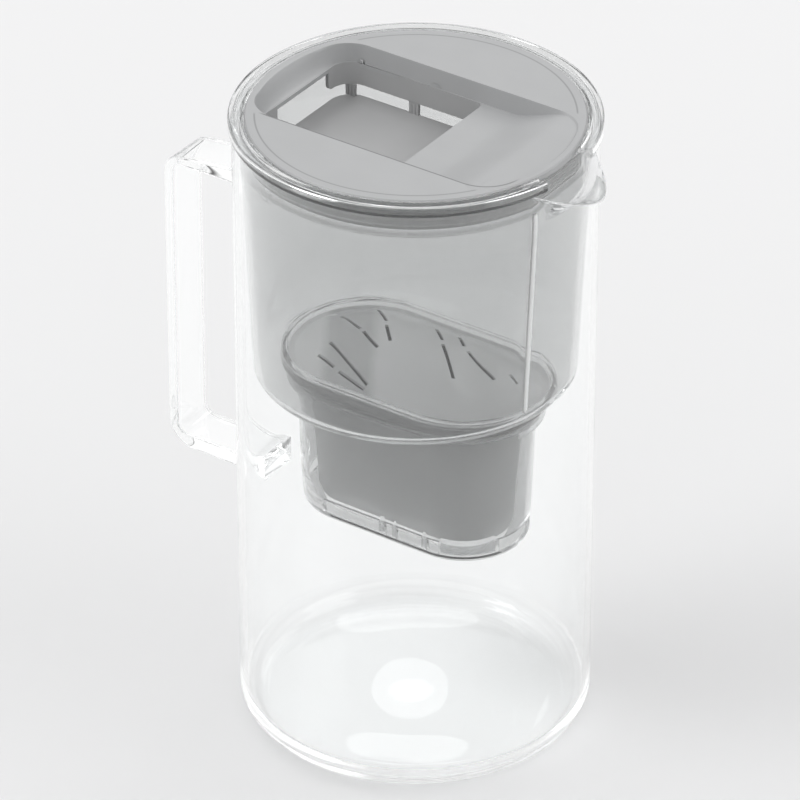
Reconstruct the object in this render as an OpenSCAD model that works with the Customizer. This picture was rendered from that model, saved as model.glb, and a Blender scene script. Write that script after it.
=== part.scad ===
/* [Jug] */
// Outer radius of the jug wall
jug_r = 65; // [60:0.5:72]
// Thickness of the jug wall
jug_wall = 2.5; // [2:0.1:3.2]
// Height of the jug rim above the table
jug_h = 244.5; // [232:0.5:265]
// Thickness of the jug floor
jug_floor = 5; // [3:0.5:8]
// Outer radius of the bottom corner
jug_corner = 11; // [8:0.5:15]
// Width of the chamfer on the rim
rim_chamfer = 0.6; // [0.3:0.1:0.9]

/* [Spout] */
// Distance from the jug wall to the tip of the spout
spout_reach = 13.5; // [11:0.5:18]
// Half of the angle that the spout takes from the rim
spout_angle = 18.5; // [16:0.5:22]
// Radius of the rounded tip
spout_tip_r = 11; // [8:0.5:12]
// Height of the flared part below the rim
spout_depth = 14; // [11:0.5:20]
// How far the tip lies below the rim
spout_drop = 6; // [3:0.5:7]

/* [Handle] */
// Distance from the jug wall to the outer face of the grip
handle_reach = 39.5; // [34:0.5:50]
// Width of the strap across
handle_w = 18.4; // [14:0.2:24]
// Thickness of the grip
grip_t = 4.3; // [3.5:0.1:7]
// Thickness of the two arms
arm_t = 5.8; // [4:0.1:8]
// Distance from the rim down to the top of the upper arm
handle_drop = 39; // [30:0.5:50]
// Height from the bottom of the lower arm to the top of the upper arm
handle_span = 126.8; // [110:0.5:140]
// Outer radius of the upper bend
upper_bend_r = 8; // [6:0.5:14]
// Outer radius of the lower bend
lower_bend_r = 12; // [8:0.5:16]

/* [Hopper] */
// Gap between the collar of the hopper and the jug wall
collar_gap = 0.3; // [0.3:0.1:1]
// Wall thickness of the hopper
hopper_wall = 2.2; // [1.8:0.1:2.8]
// Depth of the hopper below the jug rim
hopper_depth = 98.5; // [92:0.5:108]
// How much the hopper narrows from its collar to its floor
hopper_taper = 3.6; // [2:0.1:5]
// Outer radius of the bottom corner of the hopper
hopper_corner = 5; // [3:0.5:7]
// Height of the collar below the jug rim
collar_h = 9.3; // [8:0.1:12]
// Half width of the flat on the spout side
channel_half = 15; // [12:0.5:18]
// How far the flange overhangs the jug
flange_over = 1.2; // [0.6:0.1:2.5]
// Thickness of the flange where the lid rests on it
ledge_t = 1.3; // [1:0.1:2]
// Half width of the gap in the flange at the spout
flange_gap_half = 14; // [11:0.5:16]

/* [Filter pocket] */
// Half of the distance between the centres of the rounded ends
pocket_c = 21; // [18:0.5:23]
// End radius of the cartridge rim
rim_r = 29.4; // [28.5:0.1:30]
// How far the rim seat lies below the hopper floor
rim_sink = 4.6; // [4:0.1:6]
// Thickness of the pocket wall
pocket_wall = 1.9; // [1.5:0.1:2.2]
// Height of the wide shoulder of the pocket
shoulder_h = 9.5; // [8:0.5:12]
// Outer end radius of the pocket below the shoulder
pocket_r = 26; // [25:0.1:26.6]
// Height of the pocket below the shoulder
pocket_h = 51.5; // [48:0.5:56]
// How much the pocket narrows towards its bottom
pocket_taper = 2; // [1:0.1:2.5]
// Height of the outlet windows
window_h = 5.6; // [4.5:0.1:7]

/* [Lid] */
// Gap between the lid and the hopper
lid_gap = 0.3; // [0.2:0.05:0.6]
// Thickness of the lid disc
lid_t = 2.5; // [2:0.1:3]
// Half width of the recess across the lid
recess_half = 30.5; // [27:0.5:33]
// Width of the border between the recess and the edge of the lid
border_w = 2.5; // [2.3:0.1:5]
// Corner radius of the recess
recess_corner = 12; // [8:0.5:16]
// Depth of the recess at the handle end
recess_depth = 7.5; // [7.5:0.1:10]
// Depth of the recess at the foot of the ramp
ramp_depth = 7.3; // [6:0.1:8]
// Depth of the shallow step at the spout end
step_depth = 0.6; // [0.4:0.1:1]
// Length of the shallow step between the ramp and the border
step_len = 14; // [9:0.5:18]
// Length of the ramp
ramp_len = 21; // [15:0.5:26]
// Thickness of the recess floor
recess_t = 2; // [1.6:0.1:2.4]
// Length of the scoop between the border and the fill opening
scoop_len = 6.3; // [5.5:0.1:9]
// Length of the fill opening from the handle side to the spout side
opening_len = 61; // [48:0.5:63]
// Corner radius of the fill opening
opening_corner = 8; // [6:0.5:12]
// Depth of the lid skirt below the disc
skirt_h = 9.2; // [8:0.1:10]
// Thickness of the lid skirt
skirt_t = 1.3; // [1:0.1:1.5]
// Thickness of the lid seal at its ribs
seal_t = 0.8; // [0.6:0.05:1]

/* [Splash guard] */
// Thickness of the guard walls
guard_t = 1.3; // [1:0.1:1.5]
// Height of the guard skirt below the lid floor at the handle end
guard_h = 6.8; // [4:0.1:7]
// Height of the drain slot between the guard skirt and its plate
drain_h = 4.8; // [4:0.1:7]
// Thickness of the guard plate
plate_t = 2.2; // [1.5:0.1:3]
// Width of one strut
strut_w = 4; // [3:0.1:6]

/* [Cartridge] */
// Thickness of the cartridge rim and of the cap flange above it
rim_t = 0.8; // [0.6:0.05:1]
// Wall thickness of the cartridge
cart_wall = 1.5; // [1.2:0.1:1.8]
// Height of the wide collar of the cartridge
cart_collar_h = 6.5; // [5:0.1:7]
// End radius of the cartridge body just below its collar
cart_r = 20.4; // [19:0.1:21]
// How much the cartridge body narrows towards its bottom
cart_taper = 2.4; // [1:0.1:3]
// Height of the cartridge below its rim
cart_h = 56; // [52:0.5:57]
// Height of the domed cap above its flange
dome_h = 6.5; // [5:0.1:8]
// Width of the flat flange around the dome
dome_margin = 2.4; // [2:0.1:4]
// Depth of the two valleys that cross the dome
valley_depth = 2.6; // [1:0.1:3.2]
// Radius of the valleys
valley_r = 16; // [12:0.5:22]
// Distance of the valleys from the middle of the dome
valley_x = 21; // [18:0.5:24]
// Width of the inlet slots
slot_w = 1.2; // [0.8:0.1:1.6]
// Thickness of the two screens
screen_t = 1.2; // [0.8:0.1:2]
// Depth of the empty space above the filter bed
bed_drop = 4; // [3:0.1:5]

/* [Hidden] */
$fn = 96;
far = 400;
fit = 0.3;

// Heights that several pieces share
ledge_z = jug_h + ledge_t;
lid_z = ledge_z + lid_t;
collar_z = jug_h - collar_h;
floor_z = jug_h - hopper_depth;
floor_top = floor_z + hopper_wall;
seat_z = floor_top - rim_sink;
shoulder_z = seat_z - shoulder_h;
pocket_z = shoulder_z - pocket_h;
cart_z = seat_z - cart_h;

// Radii that several pieces share
jug_in = jug_r - jug_wall;
collar_r = jug_in - collar_gap;
hopper_top_r = collar_r - 0.3;
hopper_low_r = hopper_top_r - hopper_taper;
hopper_in = hopper_top_r - hopper_wall;
flange_r = jug_r + flange_over;
flat_top = sqrt(hopper_top_r * hopper_top_r - channel_half * channel_half);
flat_low = flat_top - hopper_taper;
lid_r = hopper_in + 0.9 - lid_gap;
recess_r = lid_r - border_w;
ramp_top = recess_r - step_len;
ramp_foot = ramp_top - ramp_len;
opening_back = recess_r - scoop_len;
opening_front = opening_len - opening_back;
skirt_r = hopper_in - fit - seal_t;
skirt_flat = flat_top - hopper_wall - fit - seal_t;
mouth_r = rim_r + fit;
shoulder_in = rim_r - 2;
cart_collar_r = shoulder_in - fit;

// Points of an arc from angle a0 to a1
function arc(x, y, r, a0, a1, n = 8) =
    [for (i = [0:n]) let (a = a0 + (a1 - a0) * i / n) [x + r * cos(a), y + r * sin(a)]];

// Solid swept round a racetrack whose straight sides are 2 * pocket_c long
module racetrack(profile) {
    for (side = [0, 180])
        rotate([0, 0, side]) translate([pocket_c, 0, 0])
            rotate([0, 0, -90]) rotate_extrude(angle = 180) polygon(profile);
    translate([-pocket_c, 0, 0]) rotate([90, 0, 90]) linear_extrude(2 * pocket_c) {
        polygon(profile);
        mirror([1, 0]) polygon(profile);
    }
}

// Flat racetrack plate of end radius r
module racetrack_plate(r, z, h) {
    racetrack([[0, z], [r, z], [r, z + h], [0, z + h]]);
}

// Everything beyond the flat on the spout side, moved inwards by inset
module beyond_flat(inset) {
    translate([0, far / 2, 0]) rotate([90, 0, 0]) linear_extrude(far) polygon([
        [flat_low - inset - hopper_taper / (collar_z - floor_z), floor_z - 1],
        [flat_low - inset, floor_z],
        [flat_top - inset, collar_z],
        [flat_top - inset, lid_z + far],
        [far, lid_z + far],
        [far, floor_z - 1]]);
}

module jug_outside() {
    rotate_extrude() polygon(concat(
        [[0, 0]],
        arc(jug_r - jug_corner, jug_corner, jug_corner, -90, 0, 10),
        [[jug_r, jug_h - rim_chamfer], [jug_r - rim_chamfer, jug_h], [0, jug_h]]));
}

module jug_inside() {
    inner_corner = jug_corner - jug_wall;
    rotate_extrude() polygon(concat(
        [[0, jug_floor]],
        arc(jug_in - inner_corner, jug_floor + inner_corner, inner_corner, -90, 0, 10),
        [[jug_in, jug_h - rim_chamfer], [jug_in + rim_chamfer, jug_h],
         [jug_in + rim_chamfer, jug_h + 1], [0, jug_h + 1]]));
}

// Flared beak of the spout, with its surface moved in by t and its top raised by top
module spout_beak(t, top) {
    throat_r = 6;
    root_r = jug_r - 1 - t;
    root_a = spout_angle - atan(t / jug_r);
    tip_x = jug_r + spout_reach - spout_tip_r;
    hull() {
        translate([tip_x, 0, jug_h - spout_drop - 1]) cylinder(r = spout_tip_r - t, h = 1 + top, $fn = 48);
        for (side = [-1, 1])
            rotate([0, 0, side * root_a]) translate([root_r, 0, jug_h - 1])
                cylinder(r = 1, h = 1 + top, $fn = 24);
        translate([jug_r - throat_r - t, 0, jug_h - spout_depth + t]) cylinder(r = throat_r, h = 1, $fn = 32);
    }
}

module jug_body() {
    color("gainsboro", 0.35)
    difference() {
        union() {
            jug_outside();
            spout_beak(0, 0);
        }
        jug_inside();
        spout_beak(jug_wall, spout_drop);
    }
}

// Side view of the strap: outer line, then inner line back to the jug
module handle_outline() {
    top = jug_h - handle_drop;
    low = top - handle_span;
    out_x = -(jug_r + handle_reach);
    in_x = out_x + grip_t;
    upper_low = top - arm_t;
    lower_top = low + arm_t;
    inner_r = 3.5;
    sag = 2.6;
    root = -(jug_r - 6);
    flare = 2.4;
    flare_len = 7;
    polygon(concat(
        [[root, top + flare], [-(jug_r + 1), top + flare], [-(jug_r + flare_len), top + 0.3],
         [-(jug_r + handle_reach / 2), top - sag * 0.35]],
        arc(out_x + upper_bend_r, top - sag - upper_bend_r, upper_bend_r, 90, 180),
        arc(out_x + lower_bend_r, low + lower_bend_r, lower_bend_r, 180, 270),
        [[-(jug_r + flare_len), low], [-(jug_r + 1), low - flare], [root, low - flare],
         [root, lower_top + flare], [-(jug_r + 1), lower_top + flare], [-(jug_r + flare_len), lower_top]],
        arc(in_x + inner_r, lower_top + inner_r, inner_r, 270, 180, 6),
        arc(in_x + inner_r, upper_low - inner_r, inner_r, 180, 90, 6),
        [[-(jug_r + flare_len), upper_low], [-(jug_r + 1), upper_low - flare], [root, upper_low - flare]]));
}

module jug_handle() {
    color("gainsboro", 0.35)
    difference() {
        translate([0, handle_w / 2, 0]) rotate([90, 0, 0]) linear_extrude(handle_w) handle_outline();
        translate([0, 0, -1]) cylinder(r = jug_r, h = jug_h + 2);
    }
}

// Bowl of the hopper, up to the ledge that the lid rests on
module hopper_outside() {
    difference() {
        rotate_extrude() polygon(concat(
            [[0, floor_z]],
            arc(hopper_low_r - hopper_corner, floor_z + hopper_corner, hopper_corner, -90, 0, 6),
            [[hopper_top_r, collar_z], [collar_r, collar_z], [collar_r, ledge_z], [0, ledge_z]]));
        beyond_flat(0);
    }
}

module hopper_inside() {
    corner = hopper_corner - hopper_wall;
    low_r = hopper_low_r - hopper_wall;
    difference() {
        rotate_extrude() polygon(concat(
            [[0, floor_top]],
            arc(low_r - corner, floor_top + corner, corner, -90, 0, 6),
            [[hopper_in, collar_z], [hopper_in, ledge_z + 1], [0, ledge_z + 1]]));
        beyond_flat(hopper_wall);
    }
}

// Ring that hangs on the jug rim, with a groove in its top and a gap at the spout
module flange() {
    groove_depth = 1.3;
    lip = 2;
    inner = lid_r + lid_gap;
    round_r = 0.8;
    difference() {
        rotate_extrude() polygon(concat(
            [[inner, jug_h]],
            arc(flange_r - round_r, jug_h + round_r, round_r, -90, 0, 4),
            arc(flange_r - round_r, lid_z - round_r, round_r, 0, 90, 4),
            [[flange_r - lip, lid_z], [flange_r - lip - 0.4, lid_z - groove_depth],
             [inner + 1.4, lid_z - groove_depth], [inner + 1, lid_z], [inner, lid_z]]));
        translate([flat_top, -flange_gap_half, jug_h - 1]) cube([far, 2 * flange_gap_half, far]);
    }
}

module pocket_outside() {
    lip_r = mouth_r + pocket_wall;
    shoulder_r = shoulder_in + pocket_wall;
    corner = 3;
    low_r = pocket_r - pocket_taper;
    racetrack(concat(
        [[0, floor_z + 1], [0, pocket_z]],
        arc(low_r - corner, pocket_z + corner, corner, -90, 0, 5),
        [[pocket_r, shoulder_z - 0.8], [shoulder_r - 0.8, shoulder_z], [shoulder_r, shoulder_z + 0.8],
         [shoulder_r, seat_z - 4], [lip_r, seat_z - 1.5], [lip_r, floor_z + 1]]));
}

module pocket_inside() {
    in_r = pocket_r - pocket_wall;
    low_r = in_r - pocket_taper;
    racetrack([
        [0, floor_top + 1], [mouth_r, floor_top + 1], [mouth_r, seat_z], [shoulder_in, seat_z],
        [shoulder_in, shoulder_z + pocket_wall + 0.4], [in_r, shoulder_z + pocket_wall - 0.4],
        [low_r, pocket_z + pocket_wall], [0, pocket_z + pocket_wall]]);
}

// Outlet windows round the foot of the pocket, the same on both long sides
module pocket_windows() {
    bays = [[-24, 0.5], [2.7, 6.3], [7.8, 19], [21, 26]];
    end_bay = [-10, 14];
    z = pocket_z + pocket_wall + 0.8;
    for (turn = [0, 180])
        rotate([0, 0, turn]) {
            for (bay = bays)
                translate([bay[0], -pocket_r - 5, z]) cube([bay[1] - bay[0], pocket_r - 3, window_h]);
            translate([pocket_c + 8, end_bay[0], z]) cube([pocket_r, end_bay[1] - end_bay[0], window_h]);
        }
}

module hopper() {
    color("silver", 0.6)
    union() {
        difference() {
            union() {
                hopper_outside();
                pocket_outside();
            }
            hopper_inside();
            pocket_inside();
            pocket_windows();
            racetrack_plate(pocket_r - pocket_taper - pocket_wall - 6, pocket_z - 1, pocket_wall + 2);
        }
        flange();
    }
}

// Outline of the recess: a band across the lid, rounded where it meets the border
function recess_quarter(grow) =
    let (r = recess_r + grow, h = recess_half + grow, q = recess_corner,
         cx = sqrt(pow(r - q, 2) - pow(h - q, 2)), a = atan2(h - q, cx))
    concat(arc(0, 0, r, 0, a, 8), arc(cx, h - q, q, a, 90, 8));
function reversed(list) = [for (i = [len(list) - 1:-1:0]) list[i]];
function recess_outline(grow) =
    let (p = recess_quarter(grow))
    concat(p, [for (v = reversed(p)) [-v[0], v[1]]], [for (v = p) [-v[0], -v[1]]],
        [for (v = reversed(p)) [v[0], -v[1]]]);

// Side view of the recess floor, from the handle side to the spout side
function recess_floor(down) = [
    [-(recess_r + 3), lid_z - down], [-recess_r, lid_z - down],
    [-(recess_r - 1.8), lid_z - recess_depth * 0.4 - down],
    [-(opening_back + 2.4), lid_z - recess_depth * 0.82 - down],
    [-opening_back, lid_z - recess_depth - down],
    [opening_front, lid_z - ramp_depth - down],
    [ramp_foot, lid_z - ramp_depth - down],
    [ramp_top, lid_z - step_depth - down],
    [recess_r + 3, lid_z - step_depth - down]];

module above_floor(down) {
    translate([0, far / 2, 0]) rotate([90, 0, 0]) linear_extrude(far)
        polygon(concat(recess_floor(down), [[recess_r + 3, lid_z + 5], [-(recess_r + 3), lid_z + 5]]));
}

// Cylinder with a flat towards the spout
module flat_cylinder(r, flat_x, z, h) {
    difference() {
        translate([0, 0, z]) cylinder(r = r, h = h);
        translate([flat_x, -far / 2, z - 1]) cube([far, far, h + 2]);
    }
}

// Plan of the fill opening, grown by grow, with room for the guard inside the lid skirt
module opening_plan(grow) {
    x0 = -opening_back - grow;
    x1 = opening_front + grow;
    h = recess_half - 0.3 + grow;
    r = opening_corner + grow;
    s = 3 + grow;
    intersection() {
        polygon(concat(
            arc(x1 - s, h - s, s, 0, 90, 5), arc(x0 + r, h - r, r, 90, 180, 8),
            arc(x0 + r, -h + r, r, 180, 270, 8), arc(x1 - s, -h + s, s, 270, 360, 5)));
        circle(r = skirt_r - skirt_t - fit - guard_t + grow);
    }
}

module lid() {
    skirt_z = ledge_z - skirt_h;
    color("darkgray")
    difference() {
        union() {
            difference() {
                union() {
                    translate([0, 0, ledge_z]) cylinder(r = lid_r, h = lid_t);
                    flat_cylinder(skirt_r, skirt_flat, skirt_z, skirt_h);
                }
                flat_cylinder(skirt_r - skirt_t, skirt_flat - skirt_t, skirt_z - 1, skirt_h + 1);
            }
            intersection() {
                flat_cylinder(skirt_r, skirt_flat, lid_z - 20, 20);
                linear_extrude(lid_z) polygon(recess_outline(1.8));
                above_floor(recess_t);
            }
        }
        intersection() {
            linear_extrude(lid_z + 5) polygon(recess_outline(0));
            above_floor(0);
        }
        linear_extrude(far) opening_plan(0);
    }
}

// Insert under the fill opening: a plate, struts and a skirt that is open towards the handle
module splash_guard() {
    skirt_low = lid_z - recess_depth - recess_t - guard_h;
    drain_z = skirt_low - drain_h;
    wall_end = 3;
    open_half = recess_half - opening_corner - wall_end;
    strut_inset = 2;
    strut_pitch = (opening_len - strut_w) / 2 - strut_inset;
    color("gray")
    difference() {
        translate([0, 0, drain_z - plate_t]) linear_extrude(lid_z - drain_z) opening_plan(guard_t);
        translate([0, 0, drain_z]) linear_extrude(far) opening_plan(0);
        above_floor(recess_t);
        translate([-far, -open_half, drain_z]) cube([far - opening_back + strut_inset, 2 * open_half, far]);
        for (i = [-1:2])
            translate([strut_inset - opening_back + strut_w + i * strut_pitch, -far / 2, drain_z])
                cube([strut_pitch - strut_w, far, drain_h]);
    }
}

module lid_seal() {
    z = ledge_z - skirt_h + 0.6;
    h = 7.2;
    base = seal_t / 2;
    ribs = [0.6, 3, 5.6];
    color("dimgray")
    difference() {
        intersection() {
            union() {
                translate([0, 0, z]) cylinder(r = skirt_r + base, h = h);
                for (rib = ribs)
                    translate([0, 0, z + rib]) cylinder(r = skirt_r + seal_t, h = 1);
            }
            translate([-far + skirt_flat + seal_t, -far / 2, 0]) cube([far, far, far]);
        }
        flat_cylinder(skirt_r, skirt_flat, z - 1, h + 2);
    }
}

// Wall of the cartridge body at height z above its bottom
function cart_body_r(z) = cart_r - cart_taper + cart_taper * z / (cart_h - cart_collar_h);

module cartridge_shell() {
    collar_low = seat_z - cart_collar_h;
    corner = 2;
    low_r = cart_r - cart_taper;
    in_z = cart_z + cart_wall;
    color("darkgray")
    difference() {
        racetrack(concat(
            [[0, seat_z + rim_t], [0, cart_z]],
            arc(low_r - corner, cart_z + corner, corner, -90, 0, 4),
            [[cart_r, collar_low - 1], [cart_collar_r - 1.5, collar_low], [cart_collar_r, collar_low + 1.5],
             [cart_collar_r, seat_z], [rim_r, seat_z], [rim_r, seat_z + rim_t]]));
        racetrack([
            [0, seat_z + rim_t + 1], [cart_collar_r - cart_wall, seat_z + rim_t + 1],
            [cart_collar_r - cart_wall, collar_low + cart_wall + 1],
            [cart_r - cart_wall, collar_low + cart_wall - 1.5],
            [low_r - cart_wall, in_z], [0, in_z]]);
        for (i = [-4:4])
            translate([i * 6 - 1, -(low_r - 6), cart_z - 1]) cube([2, 2 * (low_r - 6), cart_wall + 2]);
    }
}

// Height line of the cap dome, from its foot to its ridge
dome_r = rim_r - dome_margin;
dome_arc_r = (dome_r * dome_r + dome_h * dome_h) / (2 * dome_h);
dome_base = seat_z + 2 * rim_t;
function dome_line(drop, n = 8) =
    let (a = asin(dome_r / dome_arc_r), r = dome_arc_r - drop)
    arc(0, dome_base + dome_h - dome_arc_r, r, 90 - a, 90, n);

// Inlet slots of the cap as pairs of end points in plan
slots = [
    [[-38, 7], [-27, 4]], [[-25, 3], [-13, -5]],
    [[-31, 21], [-21, 12]], [[-19, 9], [-11, 0]],
    [[-30, -11], [-5, -23]],
    [[-30, -18], [-21, -21]], [[-18, -22], [-5, -25]],
    [[-5, 21], [3, 13]], [[5, 10], [21, -7]],
    [[5, 21], [11, 15]], [[14, 13], [33, 1]],
    [[35, 8], [40, 6]]];

// Round bars that press the valleys into the dome, grown by grow
module valley_bars(grow) {
    turn = 33;
    for (side = [-1, 1])
        rotate([0, 0, turn]) translate([side * valley_x, 0, dome_base + dome_h - valley_depth + valley_r])
            rotate([90, 0, 0]) cylinder(r = valley_r + grow, h = 4 * rim_r, center = true);
}

module cartridge_cap() {
    cap_wall = 1.4;
    color("lightgray")
    difference() {
        racetrack(concat(
            [[0, seat_z + rim_t], [rim_r, seat_z + rim_t], [rim_r, dome_base]],
            dome_line(0)));
        valley_bars(0);
        difference() {
            racetrack(concat([[0, seat_z + rim_t - 1], [dome_r - 1.2, seat_z + rim_t - 1]], dome_line(cap_wall)));
            valley_bars(cap_wall);
        }
        for (s = slots) {
            d = s[1] - s[0];
            translate([s[0][0], s[0][1], seat_z]) rotate([0, 0, atan2(d[1], d[0])])
                translate([0, -slot_w / 2, 0]) cube([norm(d), slot_w, far]);
        }
    }
}

module inlet_screen() {
    color("white")
    racetrack_plate(cart_collar_r - cart_wall - 0.2, seat_z - bed_drop, screen_t);
}

module outlet_screen() {
    color("white")
    racetrack_plate(cart_body_r(cart_wall) - cart_wall - 0.2, cart_z + cart_wall, screen_t);
}

module filter_media() {
    gap = 0.2;
    low = cart_z + cart_wall + screen_t;
    step_z = seat_z - cart_collar_h + cart_wall + 1;
    color("black")
    racetrack([
        [0, low], [cart_body_r(cart_wall + screen_t) - cart_wall - gap, low],
        [cart_r - cart_wall - gap, step_z - 2.6], [cart_collar_r - cart_wall - gap, step_z + 0.2],
        [cart_collar_r - cart_wall - gap, seat_z - bed_drop], [0, seat_z - bed_drop]]);
}

jug_body();
jug_handle();
hopper();
lid();
splash_guard();
lid_seal();
cartridge_shell();
cartridge_cap();
inlet_screen();
filter_media();
outlet_screen();
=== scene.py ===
"""Glass water filter pitcher: its looks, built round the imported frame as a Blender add-on."""

from functools import cache
from math import atan2, cos, degrees, hypot, pi, radians, sin, sqrt

import bmesh
import bpy
from bpy.props import FloatProperty, FloatVectorProperty, PointerProperty
from mathutils import Matrix, Vector


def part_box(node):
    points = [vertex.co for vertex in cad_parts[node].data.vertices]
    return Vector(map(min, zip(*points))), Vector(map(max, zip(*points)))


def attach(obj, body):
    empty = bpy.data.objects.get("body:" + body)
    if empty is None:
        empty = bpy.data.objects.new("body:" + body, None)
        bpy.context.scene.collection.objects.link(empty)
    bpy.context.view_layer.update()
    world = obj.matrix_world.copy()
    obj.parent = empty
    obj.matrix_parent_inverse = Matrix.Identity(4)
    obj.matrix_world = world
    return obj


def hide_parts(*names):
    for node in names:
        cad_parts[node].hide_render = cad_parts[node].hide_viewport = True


bl_info = {
    "name": "Water filter pitcher",
    "version": (1, 0, 0),
    "blender": (4, 5, 0),
    "location": "3D View > Sidebar > Pitcher",
    "description": "Builds a glass pitcher with a drop-in filter hopper, a cartridge and a lid",
    "category": "Mesh",
}

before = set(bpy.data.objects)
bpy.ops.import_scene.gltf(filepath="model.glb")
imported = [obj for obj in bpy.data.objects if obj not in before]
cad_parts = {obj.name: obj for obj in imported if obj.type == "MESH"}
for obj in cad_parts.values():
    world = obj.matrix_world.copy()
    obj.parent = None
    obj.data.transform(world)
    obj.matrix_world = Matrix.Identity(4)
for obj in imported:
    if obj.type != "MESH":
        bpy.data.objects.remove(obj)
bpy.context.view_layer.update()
MM = 0.001
TURN = 2 * pi


@cache
def low(node):
    """Lowest corner of a CAD node."""
    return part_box(node)[0]


@cache
def high(node):
    """Highest corner of a CAD node."""
    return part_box(node)[1]


def length(name, description, default):
    """A size in metres, as the sidebar shows it."""
    return FloatProperty(name=name, description=description, default=default, unit="LENGTH", precision=5)


def colour(name, description, default):
    """A colour that the sidebar shows as a swatch."""
    return FloatVectorProperty(name=name, description=description, default=default, subtype="COLOR",
                               size=3, min=0, max=1)


class JugSizes(bpy.types.PropertyGroup):
    """Sizes of the glass jug, its spout and its handle"""
    radius: length("Radius", "Outer radius of the wall", high("jug_body").y)
    height: length("Height", "Height of the rim", high("jug_body").z)
    wall: length("Wall", "Thickness of the glass wall", 2.5 * MM)
    floor: length("Floor", "Thickness of the glass floor", 5 * MM)
    corner: length("Corner", "Outer radius of the bottom corner", 11 * MM)
    push_up: length("Push-up", "Height of the hollow under the floor", 1.2 * MM)
    spout_reach: length("Spout reach", "Distance from the wall to the tip of the spout",
                        high("jug_body").x - high("jug_body").y)
    spout_depth: length("Spout depth", "Height of the flared part below the rim", 14 * MM)
    spout_drop: length("Spout drop", "How far the tip lies below the rim", 6 * MM)
    handle_reach: length("Handle reach", "Distance from the axis to the outer face of the grip",
                         -low("jug_handle").x)
    handle_width: length("Handle width", "Width of the strap", high("jug_handle").y * 2)
    grip: length("Grip", "Thickness of the grip", 4.3 * MM)
    arm: length("Arm", "Thickness of the two arms", 5.8 * MM)
    handle_top: length("Handle top", "Height of the top of the upper arm", 205.5 * MM)
    handle_low: length("Handle bottom", "Height of the bottom of the lower arm", 78.7 * MM)


class HopperSizes(bpy.types.PropertyGroup):
    """Sizes of the hopper, its flange and its filter pocket"""
    flange_radius: length("Flange radius", "Outer radius of the flange", high("hopper").y)
    top: length("Top", "Height of the top of the flange", high("hopper").z)
    bottom: length("Floor", "Height of the underside of the bowl's floor", 146 * MM)
    wall: length("Wall", "Thickness of the wall", 2.2 * MM)
    collar: length("Collar", "Height of the bottom edge of the collar", 235.2 * MM)
    radius_top: length("Radius at the collar", "Outer radius just below the collar", 61.9 * MM)
    radius_low: length("Radius at the floor", "Outer radius at the floor", 58.3 * MM)
    channel: length("Channel", "Half width of the flat towards the spout", 15 * MM)
    pocket_low: length("Pocket bottom", "Height of the underside of the pocket", low("hopper").z)
    seat: length("Seat", "Height of the ledge that the cartridge hangs on", low("cartridge_cap").z - 0.8 * MM)


class LidSizes(bpy.types.PropertyGroup):
    """Sizes of the lid and of the guard below its opening"""
    radius: length("Radius", "Radius of the lid", high("lid").y)
    top: length("Top", "Height of the top of the lid", high("lid").z)
    border: length("Border", "Width of the border round the recess", 2.5 * MM)
    half: length("Recess half width", "Half width of the recess", 30.5 * MM)
    depth: length("Depth", "Depth of the recess", 7.4 * MM)
    step: length("Step", "Depth of the shallow step at the spout side", 0.6 * MM)
    ramp_foot: length("Ramp foot", "Distance from the axis to the foot of the ramp", 22.8 * MM)
    ramp_top: length("Ramp top", "Distance from the axis to the top of the ramp", 43.9 * MM)
    opening_back: length("Opening, handle side", "Distance from the axis to the opening's edge", 51.5 * MM)
    opening_front: length("Opening, spout side", "Distance from the axis to the opening's edge", 9.5 * MM)
    inset: length("Inset", "How far the seen edge of the opening lies inside the guard's wall", 0.7 * MM)
    guard_skirt: length("Guard skirt", "Height of the bottom edge of the guard's skirt", 232 * MM)
    guard_low: length("Guard bottom", "Height of the underside of the guard plate", low("splash_guard").z)


class CartridgeSizes(bpy.types.PropertyGroup):
    """Sizes of the filter cartridge"""
    half_straight: length("Half straight", "Half length of the straight sides", 21 * MM)
    rim: length("Rim radius", "End radius of the rim", high("cartridge_cap").y)
    flange: length("Flange", "Thickness of the flange of the cap", 0.8 * MM)
    margin: length("Margin", "Width of the flange round the dome", 2.4 * MM)
    dome: length("Dome", "Height of the dome over its flange",
                 high("cartridge_cap").z - low("cartridge_cap").z - 0.8 * MM)
    bottom: length("Bottom", "Height of the underside of the shell", low("cartridge_shell").z)
    collar_low: length("Collar", "Height of the underside of the collar", low("cartridge_cap").z - 7.3 * MM)
    valley: length("Valley", "Distance of the valleys of the dome from its middle", 21 * MM)
    valley_depth: length("Valley depth", "Depth of the valleys", 2.6 * MM)
    valley_radius: length("Valley radius", "Radius of the valleys", 16 * MM)
    slot: length("Slot", "Width of the inlet slots", 1.3 * MM)


class Finishes(bpy.types.PropertyGroup):
    """Colours of the finishes"""
    glass: colour("Glass", "Tint of the jug", (0.985, 0.99, 0.99))
    hopper: colour("Hopper", "Tint of the clear grey hopper", (0.70, 0.705, 0.705))
    lid: colour("Lid", "Grey of the lid", (0.425, 0.43, 0.435))
    guard: colour("Guard", "Grey of the guard below the lid", (0.41, 0.412, 0.415))
    seal: colour("Seal", "Grey of the soft ring", (0.75, 0.752, 0.754))
    shell: colour("Shell", "Grey of the cartridge", (0.9, 0.902, 0.905))
    cap: colour("Cap", "Grey of the slotted cap", (0.86, 0.862, 0.865))
    # painted shade: the screens are drawn near black so that the cap's slots read dark
    screen: colour("Screen", "Dark grey of the fine screens", (0.02, 0.02, 0.021))
    media: colour("Media", "Black of the filter bed", (0.03, 0.03, 0.032))
    floor: colour("Floor", "Pale grey of the floor", (0.80, 0.80, 0.804))


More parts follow.
